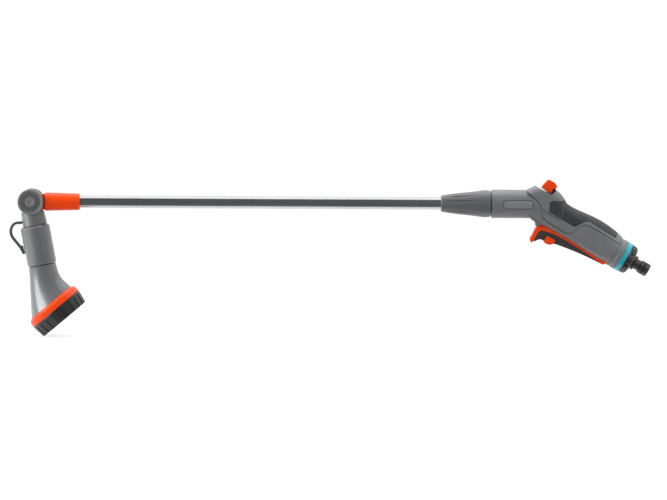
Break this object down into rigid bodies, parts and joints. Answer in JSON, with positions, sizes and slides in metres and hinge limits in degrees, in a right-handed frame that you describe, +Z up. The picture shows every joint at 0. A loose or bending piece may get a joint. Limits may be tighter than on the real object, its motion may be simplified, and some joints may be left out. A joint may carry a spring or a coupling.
{
  "type": "watering wand",
  "caption": "Long watering wand with a straight tube, a tilting shower head on a hub, a pistol grip with trigger and thumb lever, and a push-fit hose nipple.",
  "frame": {"origin": "centre of the hose nipple's open end, on the nipple's axis", "axes": "+X along the lance from the head to the handle, +Y across the wand away from the badge, +Z up with the lance level"},
  "size_m": [0.8162, 0.0748, 0.2024],
  "materials": {
    "grey_plastic": "satin moulded",
    "head_grey": "satin moulded",
    "cap_grey": "satin moulded",
    "nut_grey": "satin moulded",
    "soft_pad": "fine grain",
    "badge": "blank",
    "orange_plastic": "gloss moulded",
    "trigger_dark": "fine grain",
    "teal_plastic": "gloss moulded",
    "black_plastic": "satin moulded",
    "nipple_plastic": "satin moulded",
    "hook_plastic": "satin moulded",
    "tube_aluminium": "drawn and anodised",
    "rose_face": "satin moulded",
    "nozzle_rubber": "soft",
    "seal_rubber": "soft",
    "inner_plastic": "plain",
    "steel": "plain"
  },
  "bodies": {
    "handle": {"badge_plate": "badge", "drum_seal_far": "seal_rubber", "drum_seal_near": "seal_rubber", "end_cap": "black_plastic", "end_ring": "teal_plastic", "hose_nipple": "nipple_plastic", "hub_knuckle": "orange_plastic", "inlet_filter": "inner_plastic", "inlet_tube": "inner_plastic", "lance_socket": "orange_plastic", "lance_tube": "tube_aluminium", "main_body": "grey_plastic", "nipple_o_ring": "seal_rubber", "rear_collar": "grey_plastic", "regulator_chamber": "inner_plastic", "saddle_cover": "grey_plastic", "socket_seal": "seal_rubber", "soft_grip": "soft_pad", "tilt_seal_far": "seal_rubber", "tilt_seal_near": "seal_rubber", "trigger_pin": "steel", "tube_collet": "inner_plastic", "tube_seal": "seal_rubber", "valve_body": "inner_plastic", "valve_cap": "inner_plastic", "water_tube": "inner_plastic"},
    "head": {"head_neck": "head_grey", "tilt_cap_near": "cap_grey", "tilt_cap_far": "cap_grey", "tilt_axle": "black_plastic", "sleeve_ring_upper": "seal_rubber", "head_sleeve": "head_grey", "sleeve_ring_lower": "seal_rubber", "hanging_hook": "hook_plastic", "bell_shell": "head_grey", "rose_ring": "orange_plastic", "rose_bezel": "black_plastic", "rose_seal": "seal_rubber", "rose_diffuser": "rose_face", "rose_plate": "rose_face", "rose_nozzles": "nozzle_rubber", "rose_screw": "steel"},
    "clamping_nut": {"collar_nut": "nut_grey"},
    "lever": {"flow_lever": "orange_plastic", "lever_core": "black_plastic", "regulator_drum": "black_plastic"},
    "trigger": {"trigger_frame": "orange_plastic", "trigger_grip": "trigger_dark"},
    "trigger_lock": {"lock_button": "orange_plastic"},
    "valve": {"valve_stem": "steel", "valve_washer": "seal_rubber", "valve_spring": "steel"}
  },
  "joints": [
    {"name": "head_tilt", "type": "hinge", "parent": "handle", "child": "head", "pos_m": [-0.78476, 0, 0.0845], "axis": [0, 1, 0], "range_deg": [0, 180]},
    {"name": "nut_turn", "type": "hinge", "parent": "handle", "child": "clamping_nut", "pos_m": [-0.22636, 0, 0.0845], "axis": [-1, 0, 0], "continuous": true},
    {"name": "flow_lever_swing", "type": "hinge", "parent": "handle", "child": "lever", "pos_m": [-0.13596, 0, 0.0751], "axis": [0, 1, 0], "range_deg": [-15, 25]},
    {"name": "trigger_squeeze", "type": "hinge", "parent": "handle", "child": "trigger", "pos_m": [-0.05686, 0, 0.01551], "axis": [0, 1, 0], "range_deg": [0, 4], "stiffness_Nm_per_rad": 3, "springref_deg": -2.86},
    {"name": "trigger_lock_push", "type": "slide", "parent": "trigger", "child": "trigger_lock", "axis": [0, -1, 0], "range_m": [0, 0.003]},
    {"name": "valve_lift", "type": "slide", "parent": "handle", "child": "valve", "axis": [0.5, 0, 0.866], "range_m": [0, 0.0023]}
  ],
  "couplings": [
    {"joint": "valve_lift", "follows": "trigger_squeeze", "m_per_rad": 0.032}
  ]
}
